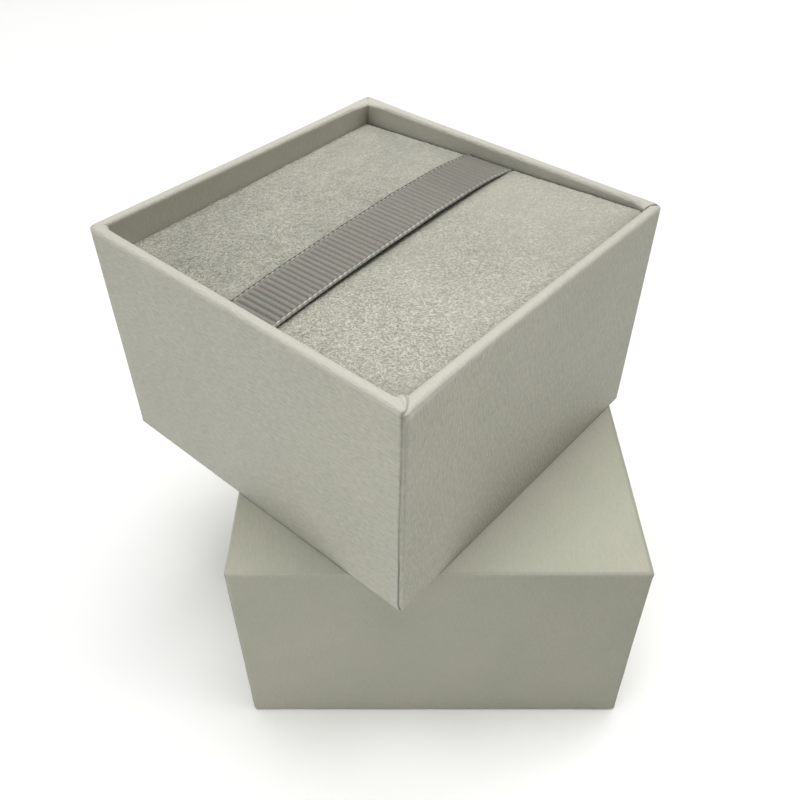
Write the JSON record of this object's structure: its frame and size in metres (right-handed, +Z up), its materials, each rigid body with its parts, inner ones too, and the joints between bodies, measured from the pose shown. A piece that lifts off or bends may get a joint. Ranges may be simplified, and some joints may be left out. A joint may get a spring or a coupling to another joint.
{
  "type": "jewelry gift box",
  "caption": "Square rigid paper gift box for jewellery: the tray, with a suede pad and a ribbon across it, stands turned on its telescoping lid.",
  "frame": {"origin": "on the tray's vertical axis, at the height of the surface that the lid stands on, which is the middle of the bottom of the whole part's box", "axes": "+Z up; the lid's sides lie along X and Y, and -Y is its front; the tray is turned 49.1 degrees counterclockwise on the lid, seen from above"},
  "size_m": [0.0858, 0.0858, 0.0808],
  "materials": {
    "lid_paper": "matte",
    "tray_paper": "matte",
    "greyboard": "matte",
    "stay_paper": "matte",
    "lining_paper": "matte",
    "foam": "matte",
    "wadding": "matte",
    "suede": "matte",
    "ribbon": "satin"
  },
  "bodies": {
    "lid": {"lid_board": "greyboard", "lid_wrap": "lid_paper", "lid_wall_lining": "lining_paper", "lid_ceiling_liner": "lining_paper", "lid_stay_front_left": "stay_paper", "lid_stay_front_right": "stay_paper", "lid_stay_back_right": "stay_paper", "lid_stay_back_left": "stay_paper"},
    "tray": {"tray_board": "greyboard", "tray_wrap": "tray_paper", "tray_wall_lining": "lining_paper", "tray_floor_liner": "lining_paper", "tray_stay_left": "stay_paper", "tray_stay_front": "stay_paper", "tray_stay_right": "stay_paper", "tray_stay_back": "stay_paper"},
    "block": {"foam_block": "foam"},
    "pad": {"pad_card": "greyboard", "pad_wadding": "wadding", "suede_cover": "suede", "ribbon": "ribbon"}
  },
  "joints": [
    {"name": "tray_lift", "type": "slide", "parent": "lid", "child": "tray", "axis": [0, 0, 1], "range_m": [0, 0.06]},
    {"name": "block_lift", "type": "slide", "parent": "tray", "child": "block", "axis": [0, 0, 1], "range_m": [0, 0.045]},
    {"name": "pad_lift", "type": "slide", "parent": "block", "child": "pad", "axis": [0, 0, 1], "range_m": [0, 0.025]}
  ]
}
